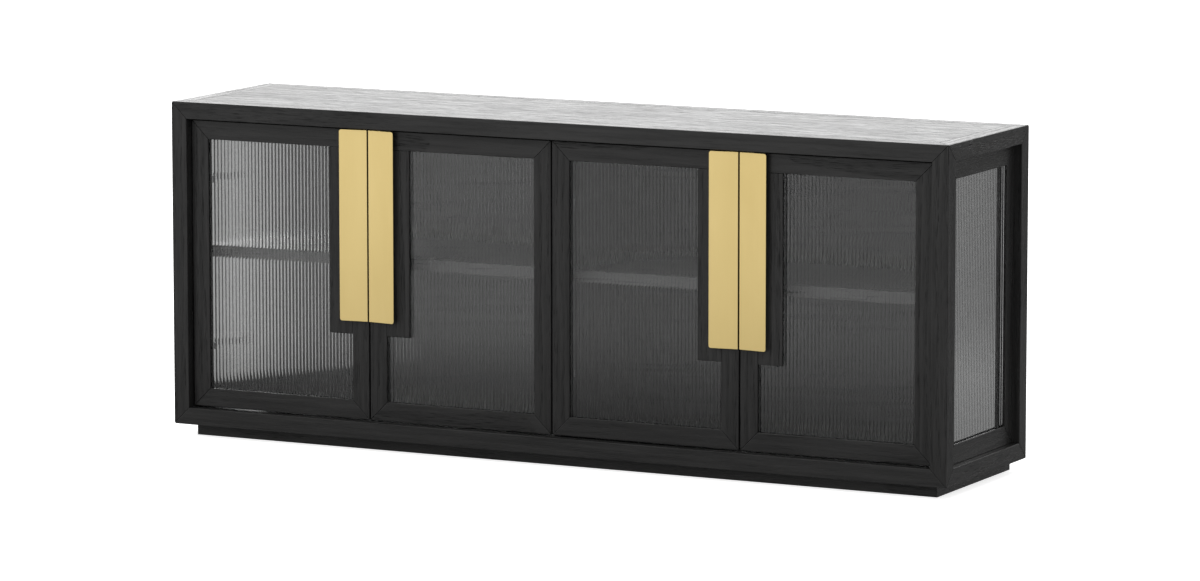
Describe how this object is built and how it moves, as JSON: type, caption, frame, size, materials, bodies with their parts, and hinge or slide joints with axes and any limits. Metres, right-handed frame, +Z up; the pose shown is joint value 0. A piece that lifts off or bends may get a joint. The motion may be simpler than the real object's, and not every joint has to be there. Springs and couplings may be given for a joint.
{
  "type": "sideboard buffet",
  "caption": "Long black-oak sideboard: square mitred frame on a recessed plinth, fluted glass hinged doors and ends, tilted brass pull plates, fixed shelves inside.",
  "frame": {"origin": "on the floor under the centre of the carcass's plan outline (bounding box bottom centre)", "axes": "+X along the length to the viewer's right facing the doors, +Y from the doors to the back, +Z up"},
  "size_m": [2, 0.456, 0.8],
  "materials": {
    "black_oak": "open-grain oak stained black, satin lacquer",
    "inner_board": "black-stained oak veneer on board, matt",
    "brass": "fine-brushed satin brass",
    "hinge_steel": "nickel-plated pressed steel",
    "fluted_glass": "vertical reeds, smoked"
  },
  "bodies": {
    "carcass": {"post_front_left": "black_oak", "post_back_left": "black_oak", "post_front_right": "black_oak", "post_back_right": "black_oak", "rail_top_front": "black_oak", "rail_top_back": "black_oak", "rail_top_left": "black_oak", "rail_top_right": "black_oak", "rail_bottom_front": "black_oak", "rail_bottom_left": "black_oak", "rail_bottom_right": "black_oak", "plinth": "black_oak", "top_panel": "black_oak", "bottom_panel": "inner_board", "back_panel": "inner_board", "center_divider": "inner_board", "shelf_left": "inner_board", "shelf_right": "inner_board", "side_frame_left": "black_oak", "side_frame_right": "black_oak", "side_glass_left": "fluted_glass", "side_glass_right": "fluted_glass", "hinge_arm_1_upper": "hinge_steel", "hinge_arm_1_lower": "hinge_steel", "hinge_arm_4_upper": "hinge_steel", "hinge_arm_4_lower": "hinge_steel", "center_hinge_arms_upper": "hinge_steel", "center_hinge_arms_lower": "hinge_steel"},
    "door_1": {"door_1_hinge_stile": "black_oak", "door_1_meeting_stile": "black_oak", "door_1_top_rail": "black_oak", "door_1_bottom_rail": "black_oak", "door_1_glass": "fluted_glass", "door_1_handle": "brass", "door_1_hinge_cup_upper": "hinge_steel", "door_1_hinge_cup_lower": "hinge_steel"},
    "door_2": {"door_2_hinge_stile": "black_oak", "door_2_meeting_stile": "black_oak", "door_2_top_rail": "black_oak", "door_2_bottom_rail": "black_oak", "door_2_glass": "fluted_glass", "door_2_handle": "brass", "door_2_hinge_cup_upper": "hinge_steel", "door_2_hinge_cup_lower": "hinge_steel"},
    "door_3": {"door_3_hinge_stile": "black_oak", "door_3_meeting_stile": "black_oak", "door_3_top_rail": "black_oak", "door_3_bottom_rail": "black_oak", "door_3_glass": "fluted_glass", "door_3_handle": "brass", "door_3_hinge_cup_upper": "hinge_steel", "door_3_hinge_cup_lower": "hinge_steel"},
    "door_4": {"door_4_hinge_stile": "black_oak", "door_4_meeting_stile": "black_oak", "door_4_top_rail": "black_oak", "door_4_bottom_rail": "black_oak", "door_4_glass": "fluted_glass", "door_4_handle": "brass", "door_4_hinge_cup_upper": "hinge_steel", "door_4_hinge_cup_lower": "hinge_steel"}
  },
  "joints": [
    {"name": "door_1_swing", "type": "hinge", "parent": "carcass", "child": "door_1", "pos_m": [-0.934, -0.1995, 0.415], "axis": [0, 0, -1], "range_deg": [0, 90]},
    {"name": "door_2_swing", "type": "hinge", "parent": "carcass", "child": "door_2", "pos_m": [-0.024, -0.1995, 0.415], "axis": [0, 0, 1], "range_deg": [0, 90]},
    {"name": "door_3_swing", "type": "hinge", "parent": "carcass", "child": "door_3", "pos_m": [0.024, -0.1995, 0.415], "axis": [0, 0, -1], "range_deg": [0, 90]},
    {"name": "door_4_swing", "type": "hinge", "parent": "carcass", "child": "door_4", "pos_m": [0.934, -0.1995, 0.415], "axis": [0, 0, 1], "range_deg": [0, 90]}
  ]
}
